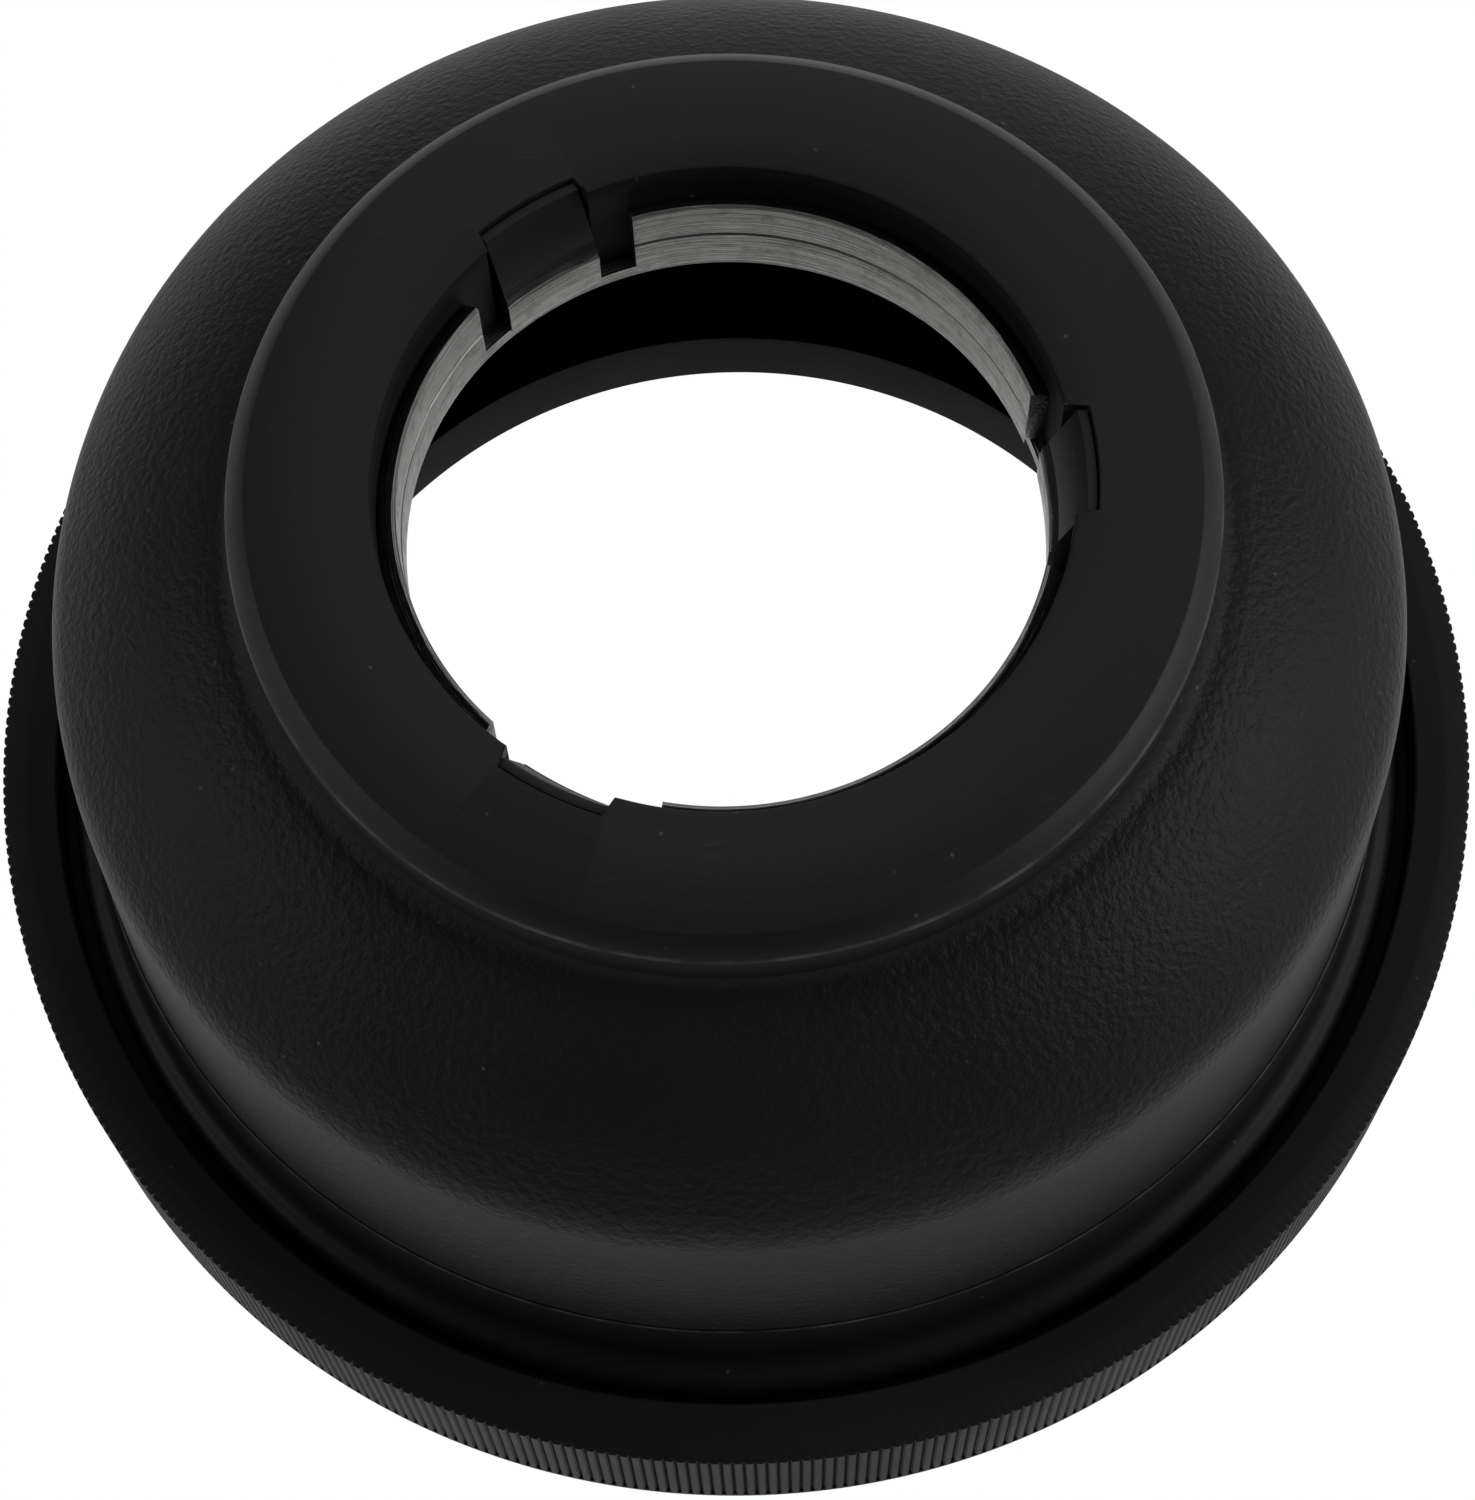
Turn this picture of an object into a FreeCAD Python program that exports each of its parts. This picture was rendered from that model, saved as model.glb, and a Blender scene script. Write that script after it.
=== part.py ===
import FreeCAD, Part
import math
import os

os.makedirs("parts", exist_ok=True)

# Clip-on lens hood, standing on its front rim with the lens mount on top.
# Millimetres, +Z towards the lens mount, origin at the centre of the front rim's bottom plane.

# ---- driving dimensions ----
HEIGHT = 53.75           # front rim to mount face
LENS_R = 19.8            # grip of the sleeve on the lens barrel
SHELL_R = 43.2           # shell just below its rounded shoulder
RING_HEIGHT = 12.44      # knurled ring, bottom to top flat
SLEEVE_WALL = 1.3
FACE_WIDTH = 8.9         # mount face, bore to outer edge
WALL = 2.0               # shell thickness
RIM_WIDTH = 5.5          # knurled ring outside the thread
OPENING_STEP = 9.9       # filter space to clear opening

# ---- main radii that follow from them ----
BORE_R = LENS_R + SLEEVE_WALL
EDGE_R = BORE_R + FACE_WIDTH
THREAD_R = SHELL_R + 2.4           # outside thread of the skirt
RING_R = THREAD_R + RIM_WIDTH      # over the teeth of the knurled ring
FILTER_R = THREAD_R - 2.1          # filter space inside the skirt
OPENING_R = FILTER_R - OPENING_STEP

# ---- clearances ----
RUNNING = 0.05           # radial, thread and knurled ring
SLIDE_GAP = 0.2          # clamp ring in the skirt
SEAT_GAP = 0.1           # faces that turn on each other
FREE_GAP = 0.3           # neighbours that never touch

# ---- mount face and neck ----
EDGE_CHAMFER = 1.3
NECK_FOOT_Z = HEIGHT - 4.15        # seam between collar and shell
FILLET_DROP = 1.25
FILLET_OUT = 1.5
SPIGOT_R = EDGE_R - 1.5            # collar spigot in the shell's hole
BORE_CHAMFER = 0.25
BOSS_R = BORE_R + 3.4
BOSS_Z = HEIGHT - 10.75            # underside of the collar's boss

# ---- shoulder and wall of the shell ----
SHELL_TOP_IN_Z = NECK_FOOT_Z - 2.7
DOME_END_R = SHELL_R - 1.45
DOME_END_Z = NECK_FOOT_Z - 9.4
DOME_BULGE = 0.86
WALL_TOP_Z = NECK_FOOT_Z - 13.6
SHOULDER_BULGE = 0.36
SEAM_Z = RING_HEIGHT + 6.46        # lower end of the shell
WALL_FLARE = 0.6                   # wall opens this much from shoulder to seam
LAP_HEIGHT = 4.0
LAP_R = SHELL_R + WALL_FLARE - WALL - 0.05
LAP_WALL = 1.5

# ---- skirt with its bead and thread ----
SEAM_STEP = 0.2
BEAD_R = THREAD_R + 0.7
BEAD_TOP_Z = RING_HEIGHT - 0.4
BEAD_MID_Z = BEAD_TOP_Z - 1.45
BEAD_LOW_Z = BEAD_TOP_Z - 2.75
THREAD_TOP_Z = BEAD_LOW_Z - 0.7
SKIRT_END_Z = 3.0
FILTER_SEAT_Z = THREAD_TOP_Z + 1.0
KEY_WIDTH = 4.0
KEY_DEPTH = 0.8

# ---- sleeve and its spring fingers ----
LIP_Z = HEIGHT - 2.75
GRIP_END_Z = HEIGHT - 9.7
LEDGE_Z = HEIGHT - 6.1
LIP_LAND = 0.35
FOOT_LIP = 0.5
FINGERS = 3
FIRST_FINGER_DEG = 0.8
GAP_DEG = 33.0                     # gap in the sleeve at each finger
FINGER_WIDTH = 6.7
FINGER_BACK = 0.45                 # free space behind a finger's lower end
FINGER_TOP_Z = HEIGHT - 0.8
RIDGE_OUT = 0.2
RIDGE_HEIGHT = 0.6
LEAF = 0.6                         # thickness of a finger's leaf at its root
POCKET_WIDTH = FINGER_WIDTH + 0.4
POCKET_R = BORE_R + 1.35

# ---- knurled ring and clamp ring ----
RING_WALL_R = BEAD_R + 0.95        # inner wall beside the bead
RING_FLAT_R = RING_R - 1.8
RING_BEVEL = 0.64
RING_FOOT = 0.6
FLANGE = 2.6
COLLAR_WALL = 1.8
COLLAR_LIFT = 0.4
COLLAR_HEIGHT = 6.0
CLAMP_FLANGE = 1.5
LUG_HEIGHT = 4.3
AXIS = FreeCAD.Vector(0, 0, 1)
ORIGIN = FreeCAD.Vector(0, 0, 0)


def point(radius, height):
    return FreeCAD.Vector(radius, 0, height)


def bulged(start, end, bulge):
    """Arc from start to end in the XZ plane; a positive bulge lies to the left of the way along."""
    run = end - start
    middle = (start + end) * 0.5
    side = FreeCAD.Vector(-run.z, 0, run.x)
    side.normalize()
    return Part.Arc(start, middle + side * bulge, end).toShape()


def revolved(outline):
    """Solid of revolution; outline is points, with a number between two points for a bulged arc."""
    edges = []
    bulge = 0.0
    last = outline[0]
    for item in outline[1:] + [outline[0]]:
        if isinstance(item, float):
            bulge = item
            continue
        if bulge:
            edges.append(bulged(last, item, bulge))
        else:
            edges.append(Part.LineSegment(last, item).toShape())
        last = item
        bulge = 0.0
    face = Part.Face(Part.Wire(edges))
    return face.revolve(ORIGIN, AXIS, 360)


def tube(inner, outer, low, high):
    """Plain ring between two radii and two heights."""
    body = Part.makeCylinder(outer, high - low, FreeCAD.Vector(0, 0, low))
    return body.cut(Part.makeCylinder(inner, high - low, FreeCAD.Vector(0, 0, low)))


def radial_block(inner, outer, width, low, high, degrees):
    """Block centred on the ray at the given angle."""
    block = Part.makeBox(outer - inner, width, high - low, FreeCAD.Vector(inner, -width / 2, low))
    block.rotate(ORIGIN, AXIS, degrees)
    return block


def finger_angles():
    return [FIRST_FINGER_DEG + 360.0 / FINGERS * index for index in range(FINGERS)]


def mount_collar():
    body = revolved([
        point(BORE_R, HEIGHT - BORE_CHAMFER),
        point(BORE_R + BORE_CHAMFER, HEIGHT),
        point(EDGE_R - EDGE_CHAMFER, HEIGHT),
        point(EDGE_R, HEIGHT - EDGE_CHAMFER),
        point(EDGE_R, NECK_FOOT_Z),
        point(SPIGOT_R, NECK_FOOT_Z),
        point(SPIGOT_R, SHELL_TOP_IN_Z),
        point(BOSS_R, SHELL_TOP_IN_Z),
        point(BOSS_R, BOSS_Z),
        point(BORE_R, BOSS_Z),
    ])
    for degrees in finger_angles():
        body = body.cut(radial_block(0, POCKET_R, POCKET_WIDTH, GRIP_END_Z, HEIGHT + 1, degrees))
    return body


def hood_shell():
    seam_r = SHELL_R + WALL_FLARE
    return revolved([
        point(SPIGOT_R, NECK_FOOT_Z),
        point(EDGE_R, NECK_FOOT_Z),
        -0.3,
        point(EDGE_R + FILLET_OUT, NECK_FOOT_Z - FILLET_DROP),
        DOME_BULGE,
        point(DOME_END_R, DOME_END_Z),
        SHOULDER_BULGE,
        point(SHELL_R, WALL_TOP_Z),
        point(seam_r, SEAM_Z),
        point(LAP_R, SEAM_Z),
        point(LAP_R, SEAM_Z + LAP_HEIGHT),
        point(SHELL_R - WALL, SEAM_Z + LAP_HEIGHT),
        point(SHELL_R - WALL, WALL_TOP_Z - 0.2),
        -SHOULDER_BULGE,
        point(DOME_END_R - WALL * 0.92, DOME_END_Z - WALL * 0.6),
        -DOME_BULGE,
        point(EDGE_R, SHELL_TOP_IN_Z),
        point(SPIGOT_R, SHELL_TOP_IN_Z),
    ])


def thread_skirt():
    seam_r = SHELL_R + WALL_FLARE + SEAM_STEP
    body = revolved([
        point(LAP_R - LAP_WALL, SEAM_Z + LAP_HEIGHT),
        point(LAP_R, SEAM_Z + LAP_HEIGHT),
        point(LAP_R, SEAM_Z),
        point(seam_r, SEAM_Z),
        point(seam_r + 0.3, BEAD_TOP_Z + 1.6),
        -0.25,
        point(BEAD_R - 1.2, BEAD_TOP_Z),
        0.3,
        point(BEAD_R, BEAD_MID_Z),
        point(BEAD_R, BEAD_LOW_Z),
        point(THREAD_R, THREAD_TOP_Z),
        point(THREAD_R, SKIRT_END_Z),
        point(FILTER_R, SKIRT_END_Z),
        point(FILTER_R, FILTER_SEAT_Z),
        point(LAP_R - LAP_WALL, FILTER_SEAT_Z),
    ])
    reach = FILTER_R + KEY_DEPTH + SEAT_GAP
    for degrees in (0, 180):
        keyway = radial_block(FILTER_R - 1, reach, KEY_WIDTH + SLIDE_GAP, SKIRT_END_Z - 1, FILTER_SEAT_Z, degrees)
        body = body.cut(keyway)
    return body


def mount_sleeve():
    body = revolved([
        point(LENS_R, LIP_Z),
        point(LENS_R + LIP_LAND, LIP_Z),
        point(BORE_R, LIP_Z - (BORE_R - LENS_R - LIP_LAND)),
        point(BORE_R, BOSS_Z),
        point(LENS_R + FOOT_LIP, BOSS_Z),
        point(LENS_R + FOOT_LIP, GRIP_END_Z),
        point(LENS_R, GRIP_END_Z),
    ])
    for degrees in finger_angles():
        wedge = Part.makeCylinder(BORE_R + 1, LIP_Z - GRIP_END_Z + 1, FreeCAD.Vector(0, 0, GRIP_END_Z), AXIS, GAP_DEG)
        wedge.rotate(ORIGIN, AXIS, degrees - GAP_DEG / 2)
        body = body.cut(wedge)
    return body


def spring_finger(degrees):
    """Grip block at the free lower end, held by a sloping leaf from the pocket's outer wall."""
    root_r = POCKET_R - SEAT_GAP
    low = GRIP_END_Z + FREE_GAP
    outline = revolved([
        point(LENS_R, low),
        point(LENS_R, LEDGE_Z),
        point(LENS_R + RIDGE_OUT, LEDGE_Z),
        point(LENS_R + RIDGE_OUT, LEDGE_Z + RIDGE_HEIGHT),
        point(root_r - LEAF, FINGER_TOP_Z),
        point(root_r, FINGER_TOP_Z),
        point(root_r, FINGER_TOP_Z - 1.2),
        point(POCKET_R - FINGER_BACK - 0.3, FINGER_TOP_Z - 2.4),
        point(POCKET_R - FINGER_BACK - 0.6, low),
    ])
    body = outline.common(radial_block(0, root_r, FINGER_WIDTH, low, FINGER_TOP_Z, 0))
    body.rotate(ORIGIN, AXIS, degrees)
    return body


def knurled_ring():
    thread_r = THREAD_R + RUNNING
    return revolved([
        point(OPENING_R + COLLAR_WALL + FREE_GAP, 0),
        point(RING_R - RING_FOOT, 0),
        point(RING_R, RING_FOOT),
        point(RING_R, RING_HEIGHT - RING_BEVEL),
        point(RING_FLAT_R, RING_HEIGHT),
        point(RING_WALL_R, RING_HEIGHT),
        point(RING_WALL_R, THREAD_TOP_Z - FREE_GAP),
        point(thread_r, THREAD_TOP_Z - FREE_GAP),
        point(thread_r, FLANGE),
        point(OPENING_R + COLLAR_WALL + FREE_GAP, FLANGE),
    ])


def clamp_ring():
    flange_z = FLANGE + SEAT_GAP
    outer_r = FILTER_R - SLIDE_GAP
    body = revolved([
        point(OPENING_R, COLLAR_LIFT),
        point(OPENING_R + COLLAR_WALL, COLLAR_LIFT),
        point(OPENING_R + COLLAR_WALL, flange_z),
        point(outer_r, flange_z),
        point(outer_r, flange_z + CLAMP_FLANGE),
        point(OPENING_R + COLLAR_WALL, flange_z + CLAMP_FLANGE),
        point(OPENING_R + COLLAR_WALL, COLLAR_LIFT + COLLAR_HEIGHT),
        point(OPENING_R, COLLAR_LIFT + COLLAR_HEIGHT),
    ])
    for degrees in (0, 180):
        lug = radial_block(outer_r - 1.2, FILTER_R + KEY_DEPTH, KEY_WIDTH, flange_z, flange_z + LUG_HEIGHT, degrees)
        body = body.fuse(lug)
    return body.removeSplitter()


def save(name, shape):
    shape.exportStep("parts/" + name + ".step")


save("mount_collar", mount_collar())
save("hood_shell", hood_shell())
save("thread_skirt", thread_skirt())
save("mount_sleeve", mount_sleeve())
for number, angle in enumerate(finger_angles(), start=1):
    save("spring_finger_%d" % number, spring_finger(angle))
save("clamp_ring", clamp_ring())
save("knurled_ring", knurled_ring())
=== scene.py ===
import math

import bmesh
import bpy
from mathutils import Matrix, Vector


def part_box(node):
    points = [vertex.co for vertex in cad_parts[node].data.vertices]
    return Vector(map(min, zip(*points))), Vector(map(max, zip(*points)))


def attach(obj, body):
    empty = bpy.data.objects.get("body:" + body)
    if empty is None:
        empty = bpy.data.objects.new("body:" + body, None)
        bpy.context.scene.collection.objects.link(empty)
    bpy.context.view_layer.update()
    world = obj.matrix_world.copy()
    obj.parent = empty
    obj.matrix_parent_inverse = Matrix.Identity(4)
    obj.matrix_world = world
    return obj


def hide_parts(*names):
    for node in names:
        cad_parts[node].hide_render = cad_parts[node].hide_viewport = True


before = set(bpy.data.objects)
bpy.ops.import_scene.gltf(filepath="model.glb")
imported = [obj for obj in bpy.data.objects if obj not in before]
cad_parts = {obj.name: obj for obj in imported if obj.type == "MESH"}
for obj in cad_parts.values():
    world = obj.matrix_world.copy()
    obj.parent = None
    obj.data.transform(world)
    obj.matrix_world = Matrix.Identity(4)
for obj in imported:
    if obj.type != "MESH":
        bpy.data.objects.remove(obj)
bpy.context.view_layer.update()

# ---- units and sizes; lengths below are millimetres until a mesh is made ----
MM = 0.001


def span(node):
    """Reach from the axis along Y, lowest and highest height of a CAD node, in millimetres."""
    low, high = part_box(node)
    return high[1] / MM, low[2] / MM, high[2] / MM


RING_R, _, RING_TOP = span("knurled_ring")
EDGE_R, COLLAR_LOW, FACE_Z = span("mount_collar")
SEAM_R, SEAM_Z, NECK_Z = span("hood_shell")
BEAD_R, SKIRT_LOW, LAP_TOP = span("thread_skirt")
BORE_R, SLEEVE_LOW, LIP_Z = span("mount_sleeve")
CLAMP_R, CLAMP_LOW, _ = span("clamp_ring")
LENS_R = BORE_R - 1.3      # the bare gripping face, inside the sleeve
GRIP_TOP = FACE_Z - 6.1    # top of that face
GRIP_LOW = FACE_Z - 9.7    # its lower end, where the sleeve's foot ring starts
OPENING_R = CLAMP_R - 9.7  # the clear front opening
SPIGOT_R = EDGE_R - 1.5    # the collar's part that sits inside the shell
NECK_DEPTH = 2.7           # length of that part
WALL = 2.0                 # thickness of the shell

ROUND_STEPS = 288          # steps round a plain turned piece
COLLAR_STEPS = 720         # half a degree each, fine enough for the pockets' sides
TEETH = 428                # of the straight knurl
TOOTH_STEPS = 4            # steps for each tooth; one of them is the groove
WELD = 0.0005 * MM         # points nearer than this are one point
FINGER_TURNS = [math.radians(0.8 + 120 * index) for index in range(3)]


# ---- mesh helpers ----
def arc(start, end, bulge, count=12):
    """Points after start up to end on an arc; a positive bulge lies to the left of the way along."""
    run_r = end[0] - start[0]
    run_z = end[1] - start[1]
    chord = math.hypot(run_r, run_z)
    radius = (chord * chord / 4 + bulge * bulge) / (2 * bulge)
    side = (-run_z / chord, run_r / chord)
    middle = ((start[0] + end[0]) / 2, (start[1] + end[1]) / 2)
    centre = (middle[0] + side[0] * (bulge - radius), middle[1] + side[1] * (bulge - radius))
    first = math.atan2(start[1] - centre[1], start[0] - centre[0])
    last = math.atan2(end[1] - centre[1], end[0] - centre[0])
    turn = (last - first + math.pi) % (2 * math.pi) - math.pi
    points = []
    for index in range(1, count + 1):
        angle = first + turn * index / count
        points.append((centre[0] + abs(radius) * math.cos(angle), centre[1] + abs(radius) * math.sin(angle)))
    return points


def eased(outline, rounding=0.12, segments=3, flattest=14):
    """The closed outline with a small round at each corner sharper than flattest degrees."""
    points = []
    total = len(outline)
    for index, here in enumerate(outline):
        here = Vector(here[:2])
        before = Vector(outline[index - 1][:2]) - here
        after = Vector(outline[(index + 1) % total][:2]) - here
        bend = math.degrees(math.pi - before.angle(after))
        size = min(rounding, before.length * 0.4, after.length * 0.4)
        if bend < flattest:
            points.append(tuple(here))
            continue
        start = here + before.normalized() * size
        end = here + after.normalized() * size
        for step in range(segments + 1):
            blend = step / segments
            points.append(tuple(start.lerp(here, blend).lerp(here.lerp(end, blend), blend)))
    return points


def finish_mesh(name, mesh, body, node, material, sharp=32):
    """Turns a bmesh into the piece that stands for a CAD node."""
    bmesh.ops.remove_doubles(mesh, verts=mesh.verts, dist=WELD)
    bmesh.ops.recalc_face_normals(mesh, faces=mesh.faces)
    for face in mesh.faces:
        face.smooth = True
    data = bpy.data.meshes.new(name)
    mesh.to_mesh(data)
    mesh.free()
    data.set_sharp_from_angle(angle=math.radians(sharp))
    piece = bpy.data.objects.new(name, data)
    bpy.context.collection.objects.link(piece)
    data.materials.append(material)
    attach(piece, body)
    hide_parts(node)
    return piece


def outline_loop(mesh, outline):
    """The outline's points, as (radius, height) in the plane of X and Z, and the edges that close it."""
    verts = [mesh.verts.new((radius * MM, 0, height * MM)) for radius, height in outline]
    edges = [mesh.edges.new((verts[index - 1], verts[index])) for index in range(len(verts))]
    return verts, edges


def spin_outline(mesh, outline, steps, first=0.0, turn=2 * math.pi):
    """Spins a closed outline about Z, from the angle first. A part turn gets both end faces."""
    whole = turn > 2 * math.pi - 0.001
    verts, edges = outline_loop(mesh, outline)
    bmesh.ops.rotate(mesh, verts=verts, matrix=Matrix.Rotation(first, 3, "Z"), cent=(0, 0, 0))
    geometry = verts + edges
    if not whole:
        geometry = geometry + [mesh.faces.new(verts)]
    bmesh.ops.spin(
        mesh, geom=geometry, cent=(0, 0, 0), axis=(0, 0, 1), angle=turn, steps=steps, use_merge=whole
    )


def turned(outline, steps=ROUND_STEPS, sectors=4):
    """A full turn made of equal sectors, because one long spin is slow."""
    mesh = bmesh.new()
    turn = 2 * math.pi / sectors
    verts, edges = outline_loop(mesh, outline)
    bmesh.ops.spin(
        mesh, geom=verts + edges, cent=(0, 0, 0), axis=(0, 0, 1), angle=turn, steps=steps // sectors
    )
    sector = mesh.verts[:] + mesh.edges[:] + mesh.faces[:]
    for index in range(1, sectors):
        copy = bmesh.ops.duplicate(mesh, geom=sector)["geom"]
        moved = [item for item in copy if isinstance(item, bmesh.types.BMVert)]
        bmesh.ops.rotate(mesh, verts=moved, matrix=Matrix.Rotation(turn * index, 3, "Z"), cent=(0, 0, 0))
    bmesh.ops.remove_doubles(mesh, verts=mesh.verts, dist=WELD)
    return mesh


# ---- shader effects shared between finishes ----
def effect(name, inputs, outputs):
    """An empty node group with float inputs as (name, default) and outputs as (name, socket type)."""
    group = bpy.data.node_groups.new(name, "ShaderNodeTree")
    for label, value in inputs:
        socket = group.interface.new_socket(label, in_out="INPUT", socket_type="NodeSocketFloat")
        socket.default_value = value
    for label, kind in outputs:
        group.interface.new_socket(label, in_out="OUTPUT", socket_type=kind)
    source = group.nodes.new("NodeGroupInput")
    sink = group.nodes.new("NodeGroupOutput")
    return group, source, sink


def add(tree, kind, settings=None, **inputs):
    """A node with attribute settings; inputs are values or sockets, by socket name or as i and its index."""
    node = tree.nodes.new(kind)
    for key, value in (settings or {}).items():
        setattr(node, key, value)
    for key, value in inputs.items():
        numbered = key[0] == "i" and key[1:].isdigit()
        socket = node.inputs[int(key[1:])] if numbered else node.inputs[key.replace("_", " ")]
        if isinstance(value, bpy.types.NodeSocket):
            tree.links.new(value, socket)
        else:
            socket.default_value = value
    return node


def calc(tree, operation, first, second=0.0):
    """One step of arithmetic on masks, heights or coordinates."""
    return add(tree, "ShaderNodeMath", {"operation": operation}, i0=first, i1=second).outputs[0]


def blend(tree, mask, under, over):
    """The colour under, with the colour over laid on it where the mask is 1."""
    return add(tree, "ShaderNodeMixRGB", Fac=mask, Color1=under, Color2=over).outputs[0]


def shade_of(colour, factor=1.0):
    return (*[part * factor for part in colour], 1)


def ramp(tree, value, low, high):
    """0 below low, 1 above high, smooth between; low may be above high."""
    node = add(tree, "ShaderNodeMapRange", {"interpolation_type": "SMOOTHSTEP"}, i0=value)
    flipped = low > high
    node.inputs["From Min"].default_value = min(low, high)
    node.inputs["From Max"].default_value = max(low, high)
    node.inputs["To Min"].default_value = 1.0 if flipped else 0.0
    node.inputs["To Max"].default_value = 0.0 if flipped else 1.0
    return node.outputs[0]


def spread(tree, value, most, low, high):
    """Maps 0 to most onto low to high in a straight line."""
    node = add(tree, "ShaderNodeMapRange", i0=value)
    node.inputs["From Max"].default_value = most
    node.inputs["To Min"].default_value = low
    node.inputs["To Max"].default_value = high
    return node.outputs[0]


# turn about Z and about X in radians, and how far each set of scratches is drawn out
SCRATCH_LAYS = ((0.4, 0.2, 30.0), (1.3, 0.5, 24.0), (2.2, -0.3, 34.0))


def make_handling():
    """Fine scratches, dust specks and broad handling marks over a surface, each as a mask."""
    group, source, sink = effect(
        "handling",
        [("Scratch Scale", 60.0), ("Dust", 0.5)],
        [("Scratches", "NodeSocketFloat"), ("Specks", "NodeSocketFloat"), ("Patches", "NodeSocketFloat")],
    )
    place = add(group, "ShaderNodeTexCoord").outputs["Object"]
    scratches = None
    for turn, tip, stretch in SCRATCH_LAYS:
        drawn_out = (1.0, stretch, 1.0)
        laid = add(group, "ShaderNodeMapping", Vector=place, Rotation=(tip, 0.2, turn), Scale=drawn_out)
        cells = add(group, "ShaderNodeTexVoronoi", {"feature": "DISTANCE_TO_EDGE"}, Vector=laid.outputs[0])
        group.links.new(source.outputs["Scratch Scale"], cells.inputs["Scale"])
        line = ramp(group, cells.outputs["Distance"], 0.02, 0.004)
        scratches = line if scratches is None else calc(group, "MAXIMUM", scratches, line)
    rarity = add(group, "ShaderNodeTexNoise", Vector=place, Scale=160.0, Detail=3.0)
    kept = ramp(group, rarity.outputs["Fac"], 0.66, 0.74)
    group.links.new(calc(group, "MULTIPLY", scratches, kept), sink.inputs["Scratches"])
    dust = add(group, "ShaderNodeTexVoronoi", {"feature": "F1"}, Vector=place, Scale=900.0, Randomness=1.0)
    speck = ramp(group, dust.outputs["Distance"], 0.16, 0.05)
    chance = add(group, "ShaderNodeSeparateColor", Color=dust.outputs["Color"])
    rare = ramp(group, chance.outputs[0], 0.93, 0.96)
    dusty = calc(group, "MULTIPLY", calc(group, "MULTIPLY", speck, rare), source.outputs["Dust"])
    group.links.new(dusty, sink.inputs["Specks"])
    broad = add(group, "ShaderNodeTexNoise", Vector=place, Scale=38.0, Detail=4.0, Roughness=0.6)
    group.links.new(ramp(group, broad.outputs["Fac"], 0.35, 0.7), sink.inputs["Patches"])
    return group


def make_lathe_marks():
    """Rings left by the cutting tool: a height from the radius and the height along the axis."""
    group, source, sink = effect(
        "lathe marks",
        [("Per Metre", 9000.0), ("Waver", 0.5)],
        [("Rings", "NodeSocketFloat"), ("Radius", "NodeSocketFloat"), ("Height", "NodeSocketFloat")],
    )
    place = add(group, "ShaderNodeTexCoord").outputs["Object"]
    split = add(group, "ShaderNodeSeparateXYZ", Vector=place)
    across = calc(group, "POWER", split.outputs["X"], 2.0)
    along = calc(group, "POWER", split.outputs["Y"], 2.0)
    radius = calc(group, "SQRT", calc(group, "ADD", across, along))
    flat = add(group, "ShaderNodeCombineXYZ", X=radius, Y=split.outputs["Z"])
    around = add(group, "ShaderNodeTexNoise", Vector=place, Scale=120.0, Detail=1.0)
    wander = calc(group, "MULTIPLY", around.outputs["Fac"], source.outputs["Waver"])
    wander = calc(group, "MULTIPLY", wander, 0.4 * MM)
    shifted = add(group, "ShaderNodeVectorMath", {"operation": "ADD"}, i0=flat.outputs[0], i1=wander)
    rings = add(
        group, "ShaderNodeTexNoise", {"noise_dimensions": "2D"},
        Vector=shifted.outputs[0], Detail=3.0, Roughness=0.7,
    )
    group.links.new(source.outputs["Per Metre"], rings.inputs["Scale"])
    group.links.new(rings.outputs["Fac"], sink.inputs["Rings"])
    group.links.new(radius, sink.inputs["Radius"])
    group.links.new(split.outputs["Z"], sink.inputs["Height"])
    return group


HANDLING = make_handling()
LATHE_MARKS = make_lathe_marks()


def new_material(name):
    material = bpy.data.materials.new(name)
    material.use_nodes = True
    tree = material.node_tree
    shader = tree.nodes["Principled BSDF"]
    return material, tree, shader


def placed(tree, group, **inputs):
    node = tree.nodes.new("ShaderNodeGroup")
    node.node_tree = group
    for key, value in inputs.items():
        node.inputs[key.replace("_", " ")].default_value = value
    return node


WORN = (0.06, 0.059, 0.057, 1)     # metal showing through the black
DUST = (0.3, 0.29, 0.27, 1)
STAIN = (0.12, 0.11, 0.1, 1)
SCORED = (0.05, 0.05, 0.05, 1)


def rubbed_edge(tree, lathe, patchy, radius, height, reach):
    """A broken mask along one turned edge, from its radius, height and reach in millimetres."""
    across = calc(tree, "ABSOLUTE", calc(tree, "SUBTRACT", lathe.outputs["Radius"], radius * MM))
    along = calc(tree, "ABSOLUTE", calc(tree, "SUBTRACT", lathe.outputs["Height"], height * MM))
    near = ramp(tree, calc(tree, "MAXIMUM", across, along), reach * MM, reach * MM * 0.3)
    return calc(tree, "MULTIPLY", near, ramp(tree, patchy.outputs["Fac"], 0.25, 0.85))


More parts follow.
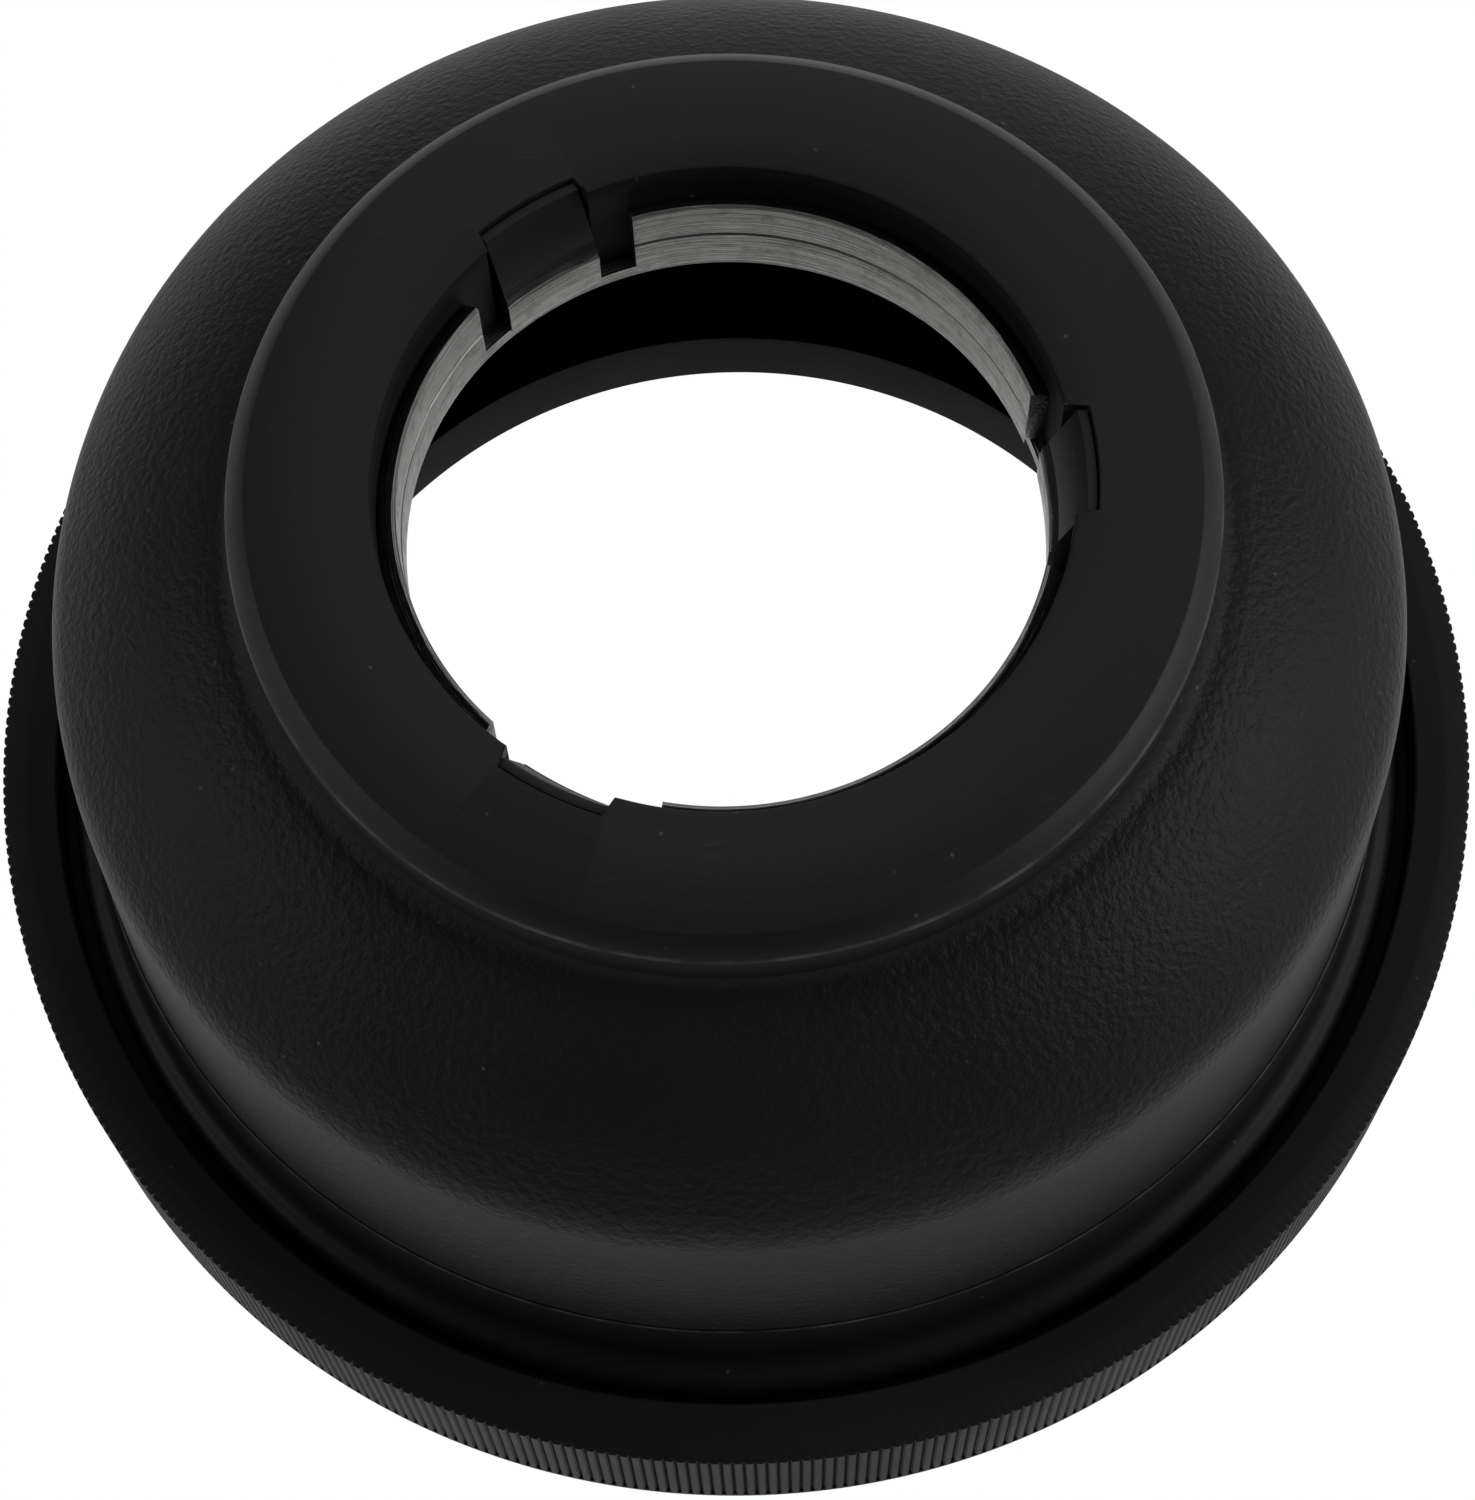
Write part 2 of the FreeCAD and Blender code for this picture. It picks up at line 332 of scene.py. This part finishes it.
def black_finish(name, colour, roughness, specular, scratch,
                 grain=0.0, grain_scale=2600.0, rings=0.0, worn_edges=()):
    """Black coated metal. worn_edges holds (radius, height, reach) where the coat has rubbed."""
    material, tree, shader = new_material(name)
    marks = placed(tree, HANDLING, Dust=0.12)
    lathe = placed(tree, LATHE_MARKS)
    place = add(tree, "ShaderNodeTexCoord").outputs["Object"]
    wear = calc(tree, "MULTIPLY", marks.outputs["Scratches"], scratch)
    patchy = add(tree, "ShaderNodeTexNoise", Vector=place, Scale=420.0, Detail=3.0)
    for radius, height, reach in worn_edges:
        wear = calc(tree, "MAXIMUM", wear, rubbed_edge(tree, lathe, patchy, radius, height, reach))
    tone = blend(tree, marks.outputs["Patches"], shade_of(colour), shade_of(colour, 1.18))
    scratched = blend(tree, wear, tone, WORN)
    tree.links.new(blend(tree, marks.outputs["Specks"], scratched, DUST), shader.inputs["Base Color"])
    grains = add(tree, "ShaderNodeTexNoise", Vector=place, Scale=grain_scale, Detail=2.0, Roughness=0.55)
    uneven = calc(tree, "ADD", marks.outputs["Patches"], grains.outputs["Fac"])
    gloss = spread(tree, uneven, 2.0, roughness - 0.05, roughness + 0.06)
    tree.links.new(gloss, shader.inputs["Roughness"])
    shader.inputs["Specular IOR Level"].default_value = specular
    height = calc(tree, "MULTIPLY", grains.outputs["Fac"], grain)
    if rings:
        height = calc(tree, "ADD", height, calc(tree, "MULTIPLY", lathe.outputs["Rings"], rings))
    height = calc(tree, "SUBTRACT", height, calc(tree, "MULTIPLY", wear, 0.15))
    bump = add(tree, "ShaderNodeBump", Height=height, Strength=0.6, Distance=0.05 * MM)
    tree.links.new(bump.outputs[0], shader.inputs["Normal"])
    return material


def bare_metal(name, colour, roughness, lines):
    """Bare turned metal with tool rings, stains and fine scores."""
    material, tree, shader = new_material(name)
    lathe = placed(tree, LATHE_MARKS, Per_Metre=5200.0, Waver=1.0)
    marks = placed(tree, HANDLING, Scratch_Scale=110.0, Dust=0.2)
    place = add(tree, "ShaderNodeTexCoord").outputs["Object"]
    stains = add(tree, "ShaderNodeTexNoise", Vector=place, Scale=900.0, Detail=5.0, Roughness=0.7)
    dull = ramp(tree, stains.outputs["Fac"], 0.45, 0.75)
    lined = ramp(tree, lathe.outputs["Rings"], 0.3, 0.7)
    ringed = blend(tree, lined, shade_of(colour, 0.4), shade_of(colour))
    stained = blend(tree, calc(tree, "MULTIPLY", dull, 0.45), ringed, STAIN)
    scored = blend(tree, calc(tree, "MULTIPLY", marks.outputs["Scratches"], 0.6), stained, SCORED)
    tree.links.new(scored, shader.inputs["Base Color"])
    shader.inputs["Metallic"].default_value = 1.0
    tree.links.new(spread(tree, dull, 1.0, roughness, roughness + 0.2), shader.inputs["Roughness"])
    ridges = calc(tree, "MULTIPLY", lathe.outputs["Rings"], lines)
    height = calc(tree, "ADD", ridges, calc(tree, "MULTIPLY", stains.outputs["Fac"], 0.4))
    bump = add(tree, "ShaderNodeBump", Height=height, Strength=0.8, Distance=0.04 * MM)
    tree.links.new(bump.outputs[0], shader.inputs["Normal"])
    return material


FACE_BLACK = black_finish(
    "satin_black_face", (0.0048, 0.0048, 0.0049), roughness=0.48, specular=0.15, scratch=0.15,
    grain=0.5, rings=0.15, worn_edges=((EDGE_R, FACE_Z - 1.3, 0.2),),
)
BORE_BLACK = black_finish(
    "dull_black_bore", (0.006, 0.006, 0.006), roughness=0.7, specular=0.06, scratch=0.1, rings=0.3,
)
SHELL_BLACK = black_finish(
    "textured_black_paint", (0.0062, 0.0062, 0.0063), roughness=0.48, specular=0.08, scratch=0.15,
    grain=4.0, grain_scale=1900.0, worn_edges=((SEAM_R, SEAM_Z, 0.16),),
)
SKIRT_BLACK = black_finish(
    "smooth_black_skirt", (0.005, 0.005, 0.0051), roughness=0.44, specular=0.08, scratch=0.15,
    rings=0.3, worn_edges=((SEAM_R + 0.2, SEAM_Z, 0.14),),
)
RING_BLACK = black_finish(
    "black_knurled_ring", (0.0085, 0.0085, 0.0086), roughness=0.5, specular=0.03, scratch=0.15,
    grain=0.2, rings=0.3,
)
CLAMP_BLACK = black_finish(
    "dull_black_clamp", (0.004, 0.004, 0.004), roughness=0.6, specular=0.06, scratch=0.1, rings=0.3,
)
LEAF_BLACK = black_finish(
    "black_spring_leaf", (0.006, 0.006, 0.006), roughness=0.5, specular=0.17, scratch=0.3,
    rings=0.3, worn_edges=((BORE_R - 1.15, FACE_Z - 5.55, 0.22),),
)
BARE = bare_metal("bare_turned_metal", (0.24, 0.236, 0.228), roughness=0.34, lines=2.2)


# ---- knurled ring ----
def knurled_ring():
    groove = 0.24            # depth of the knurl
    foot = 0.75              # plain band below it
    bevel = 0.64             # height of the bevel above it
    bevel_low = RING_TOP - bevel
    inner = OPENING_R + 2.1
    recess = BEAD_R + 0.95   # wall of the recess beside the bead
    recess_floor = 8.3
    thread = BEAD_R - 0.65
    flange = 2.6             # thickness of the front flange
    top_flat = RING_R - 1.8
    outline = [
        (inner, 0.15), (inner + 0.15, 0), (RING_R - 0.5, 0), (RING_R - 0.12, 0.12), (RING_R, 0.4),
        (RING_R, foot), (RING_R, foot + 0.12), (RING_R, bevel_low), (RING_R - 0.3, bevel_low + 0.12),
        (top_flat + 0.1, RING_TOP - 0.02), (top_flat - 0.05, RING_TOP), (recess + 0.15, RING_TOP),
        (recess + 0.03, RING_TOP - 0.06), (recess, RING_TOP - 0.2), (recess, recess_floor),
        (thread, recess_floor), (thread, flange), (inner, flange),
    ]
    steps = TEETH * TOOTH_STEPS
    mesh = turned(outline, steps, 16)
    pitch = 2 * math.pi / steps
    sunk = (RING_R - groove) / RING_R
    for vert in mesh.verts:
        height = vert.co.z / MM
        on_knurl = foot + 0.05 <= height <= bevel_low + 0.05
        if not on_knurl or vert.co.xy.length < (RING_R - 0.01) * MM:
            continue
        if round(math.atan2(vert.co.y, vert.co.x) / pitch) % TOOTH_STEPS == 0:
            vert.co.x *= sunk
            vert.co.y *= sunk
    return finish_mesh("knurled_front_ring", mesh, "ring", "knurled_ring", RING_BLACK, 24)


# ---- domed shell ----
def domed_shell():
    shell_r = SEAM_R - 0.6
    lap_r = SEAM_R - WALL - 0.05
    lap_top = SEAM_Z + 4.0
    inside_top = NECK_Z - NECK_DEPTH
    fillet_end = (EDGE_R + 1.5, NECK_Z - 1.25)
    dome_end = (shell_r - 1.45, NECK_Z - 9.4)
    wall_top = (shell_r, NECK_Z - 13.6)
    inner_wall = (shell_r - WALL, NECK_Z - 13.8)
    inner_dome = (dome_end[0] - 1.84, dome_end[1] - 1.2)
    shoulder_bulge = 0.86
    bend_bulge = 0.36
    outline = [(SPIGOT_R, NECK_Z), (EDGE_R, NECK_Z)]
    outline += arc(outline[-1], fillet_end, -0.3, 6)
    outline += arc(fillet_end, dome_end, shoulder_bulge, 16)
    outline += arc(dome_end, wall_top, bend_bulge, 12)
    outline += [(SEAM_R, SEAM_Z + 0.1), (SEAM_R - 0.1, SEAM_Z), (lap_r, SEAM_Z), (lap_r, lap_top)]
    outline += [(shell_r - WALL, lap_top), inner_wall]
    outline += arc(inner_wall, inner_dome, -bend_bulge, 8)
    outline += arc(inner_dome, (EDGE_R, inside_top), -shoulder_bulge, 12)
    outline += [(SPIGOT_R, inside_top)]
    return finish_mesh("domed_shell", turned(outline), "hood", "hood_shell", SHELL_BLACK, 40)


# ---- skirt with its bead ----
def beaded_skirt():
    seam_r = SEAM_R + 0.2
    bead_top = RING_TOP - 0.4
    thread = BEAD_R - 0.7
    filter_r = thread - 2.1
    filter_top = bead_top - 2.45
    lap_r = SEAM_R - WALL - 0.05
    lap_inner = lap_r - 1.5
    flare = (seam_r + 0.3, bead_top + 1.6)
    bead_start = (BEAD_R - 1.2, bead_top)
    bead_mid = (BEAD_R, bead_top - 1.45)
    outline = [(lap_inner, LAP_TOP), (lap_r, LAP_TOP), (lap_r, SEAM_Z), (seam_r - 0.1, SEAM_Z)]
    outline += [(seam_r, SEAM_Z - 0.1), flare]
    outline += arc(flare, bead_start, -0.25, 6)
    outline += arc(bead_start, bead_mid, 0.3, 8)
    outline += [(BEAD_R, bead_top - 2.75), (thread, bead_top - 3.45), (thread, SKIRT_LOW)]
    outline += [(filter_r, SKIRT_LOW), (filter_r, filter_top), (lap_inner, filter_top)]
    return finish_mesh("beaded_skirt", turned(outline), "hood", "thread_skirt", SKIRT_BLACK, 40)


# ---- mount collar with its pockets ----
def mount_collar():
    pocket_r = BORE_R + 1.35
    half_width = 3.55
    boss = BORE_R + 3.4
    neck_low = NECK_Z - NECK_DEPTH
    outline = [
        (BORE_R, COLLAR_LOW), (BORE_R, GRIP_LOW - 0.05), (BORE_R, GRIP_LOW), (BORE_R, FACE_Z - 1.2),
        (BORE_R, FACE_Z - 0.28), (BORE_R + 0.09, FACE_Z - 0.08), (BORE_R + 0.28, FACE_Z),
        (EDGE_R - 1.36, FACE_Z), (EDGE_R - 1.26, FACE_Z - 0.04), (EDGE_R - 0.09, FACE_Z - 1.2),
        (EDGE_R, FACE_Z - 1.42), (EDGE_R, NECK_Z), (SPIGOT_R, NECK_Z), (SPIGOT_R, neck_low),
        (boss, neck_low), (boss, COLLAR_LOW),
    ]
    mesh = turned(outline, COLLAR_STEPS, 12)
    for vert in mesh.verts:
        if vert.co.z < (GRIP_LOW - 0.02) * MM or vert.co.xy.length > (BORE_R + 0.4) * MM:
            continue
        for turn in FINGER_TURNS:
            local = Matrix.Rotation(-turn, 3, "Z") @ vert.co
            if local.x > 0 and abs(local.y) < (half_width + 0.02) * MM:
                lip = max(0.0, vert.co.xy.length - BORE_R * MM)
                local.x = math.sqrt((pocket_r * MM) ** 2 - local.y ** 2) + lip * 0.3
                vert.co = Matrix.Rotation(turn, 3, "Z") @ local
                break
    piece = finish_mesh("collar_with_pockets", mesh, "hood", "mount_collar", FACE_BLACK, 32)
    piece.data.materials.append(BORE_BLACK)
    for face in piece.data.polygons:
        reach = face.center.xy.length / MM
        inside = face.center.z < (FACE_Z - 1.5) * MM and reach < SPIGOT_R
        if inside or reach < BORE_R + 0.1:
            face.material_index = 1
    return piece


# ---- grip sleeve: three long segments on one foot ring ----
def grip_sleeve():
    outer = BORE_R - 0.02
    foot_inner = LENS_R + 0.5
    gap = math.radians(33)
    third = math.radians(120)
    chamfer = 0.18
    corner = 0.9             # round at each segment's lower corners
    segment = [
        (LENS_R, GRIP_LOW + chamfer), (LENS_R, GRIP_TOP - 0.12), (LENS_R + 0.1, GRIP_TOP - 0.04),
        (LENS_R + 0.1, GRIP_TOP + 0.06), (LENS_R + 0.04, GRIP_TOP + 0.12), (LENS_R + 0.04, LIP_Z),
        (LENS_R + 0.3, LIP_Z), (outer, LIP_Z - 0.95), (outer, GRIP_LOW), (LENS_R + chamfer, GRIP_LOW),
    ]
    foot = [(foot_inner, SLEEVE_LOW), (outer, SLEEVE_LOW), (outer, GRIP_LOW), (foot_inner, GRIP_LOW)]
    mesh = bmesh.new()
    for turn in FINGER_TURNS:
        spin_outline(mesh, eased(segment, 0.08), 140, turn + gap / 2, third - gap)
    for vert in mesh.verts:
        if vert.co.z > (GRIP_LOW + 0.2) * MM or vert.co.xy.length > (LENS_R + 0.3) * MM:
            continue
        past_finger = (math.atan2(vert.co.y, vert.co.x) - FINGER_TURNS[0]) % third
        from_end = (third / 2 - gap / 2 - abs(past_finger - third / 2)) * LENS_R
        into = max(0.0, min(1.0, 1 - from_end / corner))
        vert.co.z += corner * (1 - math.sqrt(1 - into * into)) * MM
    spin_outline(mesh, foot, ROUND_STEPS)
    return finish_mesh("grip_sleeve", mesh, "hood", "mount_sleeve", BARE, 32)


# ---- spring fingers: black sloping leaf with a bare grip block at its free end ----
def spring_finger(number, turn):
    half_width = 3.35
    low = GRIP_LOW + 0.3
    ridge = GRIP_TOP + 0.6   # thin edge above the grip block
    top = FACE_Z - 0.35
    leaf = 0.6               # thickness at the root
    root = BORE_R + 1.25
    back = BORE_R + 0.9
    root_low = top - 1.2
    profile = [
        (LENS_R, low), (LENS_R, GRIP_TOP), (LENS_R + 0.16, GRIP_TOP + 0.03), (LENS_R + 0.2, GRIP_TOP + 0.2),
        (LENS_R + 0.06, GRIP_TOP + 0.34), (LENS_R + 0.14, ridge),
    ]
    for groove in range(3):
        start = ridge + 0.15 + groove * 0.28
        lean = (start - ridge) / (top - ridge) * (root - leaf - LENS_R - 0.2)
        face = LENS_R + 0.2 + lean
        profile += [(face, start), (face + 0.11, start + 0.1), (face + 0.04, start + 0.2)]
    profile += [(root - leaf, top), (root, top), (root, root_low)]
    profile += [(back - 0.3, root_low - 1.2), (back - 0.6, low)]
    half = math.asin(half_width / root)
    mesh = bmesh.new()
    spin_outline(mesh, eased(profile, 0.06, 2), 40, turn - half, 2 * half)
    to_local = Matrix.Rotation(-turn, 3, "Z")
    for vert in mesh.verts:
        local = to_local @ vert.co
        side = max(-1.0, min(1.0, math.atan2(local.y, local.x) / half))
        local.y = half_width * MM * math.sin(side * half) / math.sin(half)
        near_side = max(0.0, abs(side) - 0.9) / 0.1
        if local.z < (low + 0.3) * MM:
            local.z += 0.25 * MM * near_side
        vert.co = to_local.inverted() @ local
    node = "spring_finger_%d" % (number + 1)
    body = "finger_%d" % (number + 1)
    piece = finish_mesh("spring_finger_" + "abc"[number], mesh, body, node, BARE, 30)
    piece.data.materials.append(LEAF_BLACK)
    for face in piece.data.polygons:
        if face.center.z > (GRIP_TOP + 0.3) * MM:
            face.material_index = 1
    return piece


# ---- clamp ring with its two keys ----
def clamp_ring():
    outer = OPENING_R + 1.8
    top = CLAMP_LOW + 6.0
    flange = 2.7             # underside of the flange
    flange_top = flange + 1.5
    key_size = (2.2, 3.96, 4.26)
    outline = [
        (OPENING_R + 0.3, CLAMP_LOW), (outer, CLAMP_LOW), (outer, flange), (CLAMP_R, flange),
        (CLAMP_R, flange_top), (outer, flange_top), (outer, top), (OPENING_R + 0.4, top),
        (OPENING_R + 0.05, top - 0.15), (OPENING_R, top - 0.4), (OPENING_R, CLAMP_LOW + 0.3),
    ]
    mesh = turned(outline)
    for side in (1, -1):
        centre = Vector((side * (CLAMP_R - 0.1), 0, flange + 2.15)) * MM
        key = bmesh.ops.create_cube(mesh, size=MM)["verts"]
        bmesh.ops.scale(mesh, verts=key, vec=key_size)
        bmesh.ops.translate(mesh, verts=key, vec=centre)
        edges = {edge for vert in key for edge in vert.link_edges}
        bmesh.ops.bevel(
            mesh, geom=list(edges), offset=0.15 * MM, segments=2, profile=0.5, affect="EDGES", material=-1
        )
    return finish_mesh("clamp_ring_with_keys", mesh, "clamp", "clamp_ring", CLAMP_BLACK, 32)


knurled_ring()
domed_shell()
beaded_skirt()
mount_collar()
grip_sleeve()
clamp_ring()
for number, turn in enumerate(FINGER_TURNS):
    spring_finger(number, turn)


# ---- floor, light and camera; lengths here are metres, angles degrees ----
FLOOR_SIZE = 60.0
FILL = 0.12                                # plain light from all round
EYE = (0.0, -0.097953, 0.263203)
EYE_TURN = (21.0158, 0.8828, -2.3975)      # about X, Y and Z
LENS_LENGTH = 92.71                        # millimetres, as Blender takes it
SENSOR_WIDTH = 36.0


def stage():
    """A wide pale floor just under the object; it shows plain white to the camera and in reflections."""
    bpy.ops.mesh.primitive_plane_add(size=FLOOR_SIZE, location=(0, 0, -0.02 * MM))
    floor = bpy.context.object
    floor.name = "floor"
    material, tree, shader = new_material("white floor")
    shader.inputs["Base Color"].default_value = (0.8, 0.8, 0.8, 1)
    shader.inputs["Roughness"].default_value = 0.9
    light = add(tree, "ShaderNodeLightPath")
    shown = calc(tree, "MAXIMUM", light.outputs["Is Camera Ray"], light.outputs["Is Transmission Ray"])
    shown = calc(tree, "MAXIMUM", shown, light.outputs["Is Glossy Ray"])
    glow = add(tree, "ShaderNodeEmission", Color=(1, 1, 1, 1), Strength=1.0)
    mixed = add(tree, "ShaderNodeMixShader", i0=shown, i1=shader.outputs[0], i2=glow.outputs[0])
    output = tree.nodes["Material Output"]
    tree.links.new(mixed.outputs[0], output.inputs["Surface"])
    floor.data.materials.append(material)


def soft_light(name, azimuth, elevation, distance, size, brightness):
    """A rectangular soft box aimed at the object. Azimuth 0 is behind it (+Y) and 90 is at +X."""
    across, up = math.radians(azimuth), math.radians(elevation)
    level = math.cos(up)
    place = Vector((math.sin(across) * level, math.cos(across) * level, math.sin(up))) * distance
    data = bpy.data.lights.new(name, "AREA")
    data.shape = "RECTANGLE"
    data.size, data.size_y = size
    data.energy = brightness * math.pi * size[0] * size[1]
    lamp = bpy.data.objects.new(name, data)
    bpy.context.collection.objects.link(lamp)
    lamp.location = place
    lamp.rotation_euler = (-place).to_track_quat("-Z", "Y").to_euler()


def lights():
    soft_light("top_back_softbox", 10, 62, 1.0, (0.9, 0.6), 1.3)
    soft_light("back_softbox", 5, 22, 1.1, (1.1, 0.45), 2.0)
    soft_light("right_softbox", 98, 28, 1.1, (0.9, 0.6), 5.6)
    soft_light("left_softbox", -98, 28, 1.1, (0.8, 0.5), 3.4)
    world = bpy.context.scene.world or bpy.data.worlds.new("studio")
    bpy.context.scene.world = world
    world.use_nodes = True
    background = world.node_tree.nodes["Background"]
    background.inputs["Color"].default_value = (1, 1, 1, 1)
    background.inputs["Strength"].default_value = FILL


def camera():
    data = bpy.data.cameras.new("camera")
    data.sensor_width = SENSOR_WIDTH
    data.lens = LENS_LENGTH
    eye = bpy.data.objects.new("camera", data)
    bpy.context.collection.objects.link(eye)
    eye.location = EYE
    eye.rotation_euler = [math.radians(angle) for angle in EYE_TURN]
    data.clip_start = 0.01
    data.clip_end = 100.0
    bpy.context.scene.camera = eye


stage()
lights()
camera()
bpy.context.scene.view_settings.view_transform = "Standard"
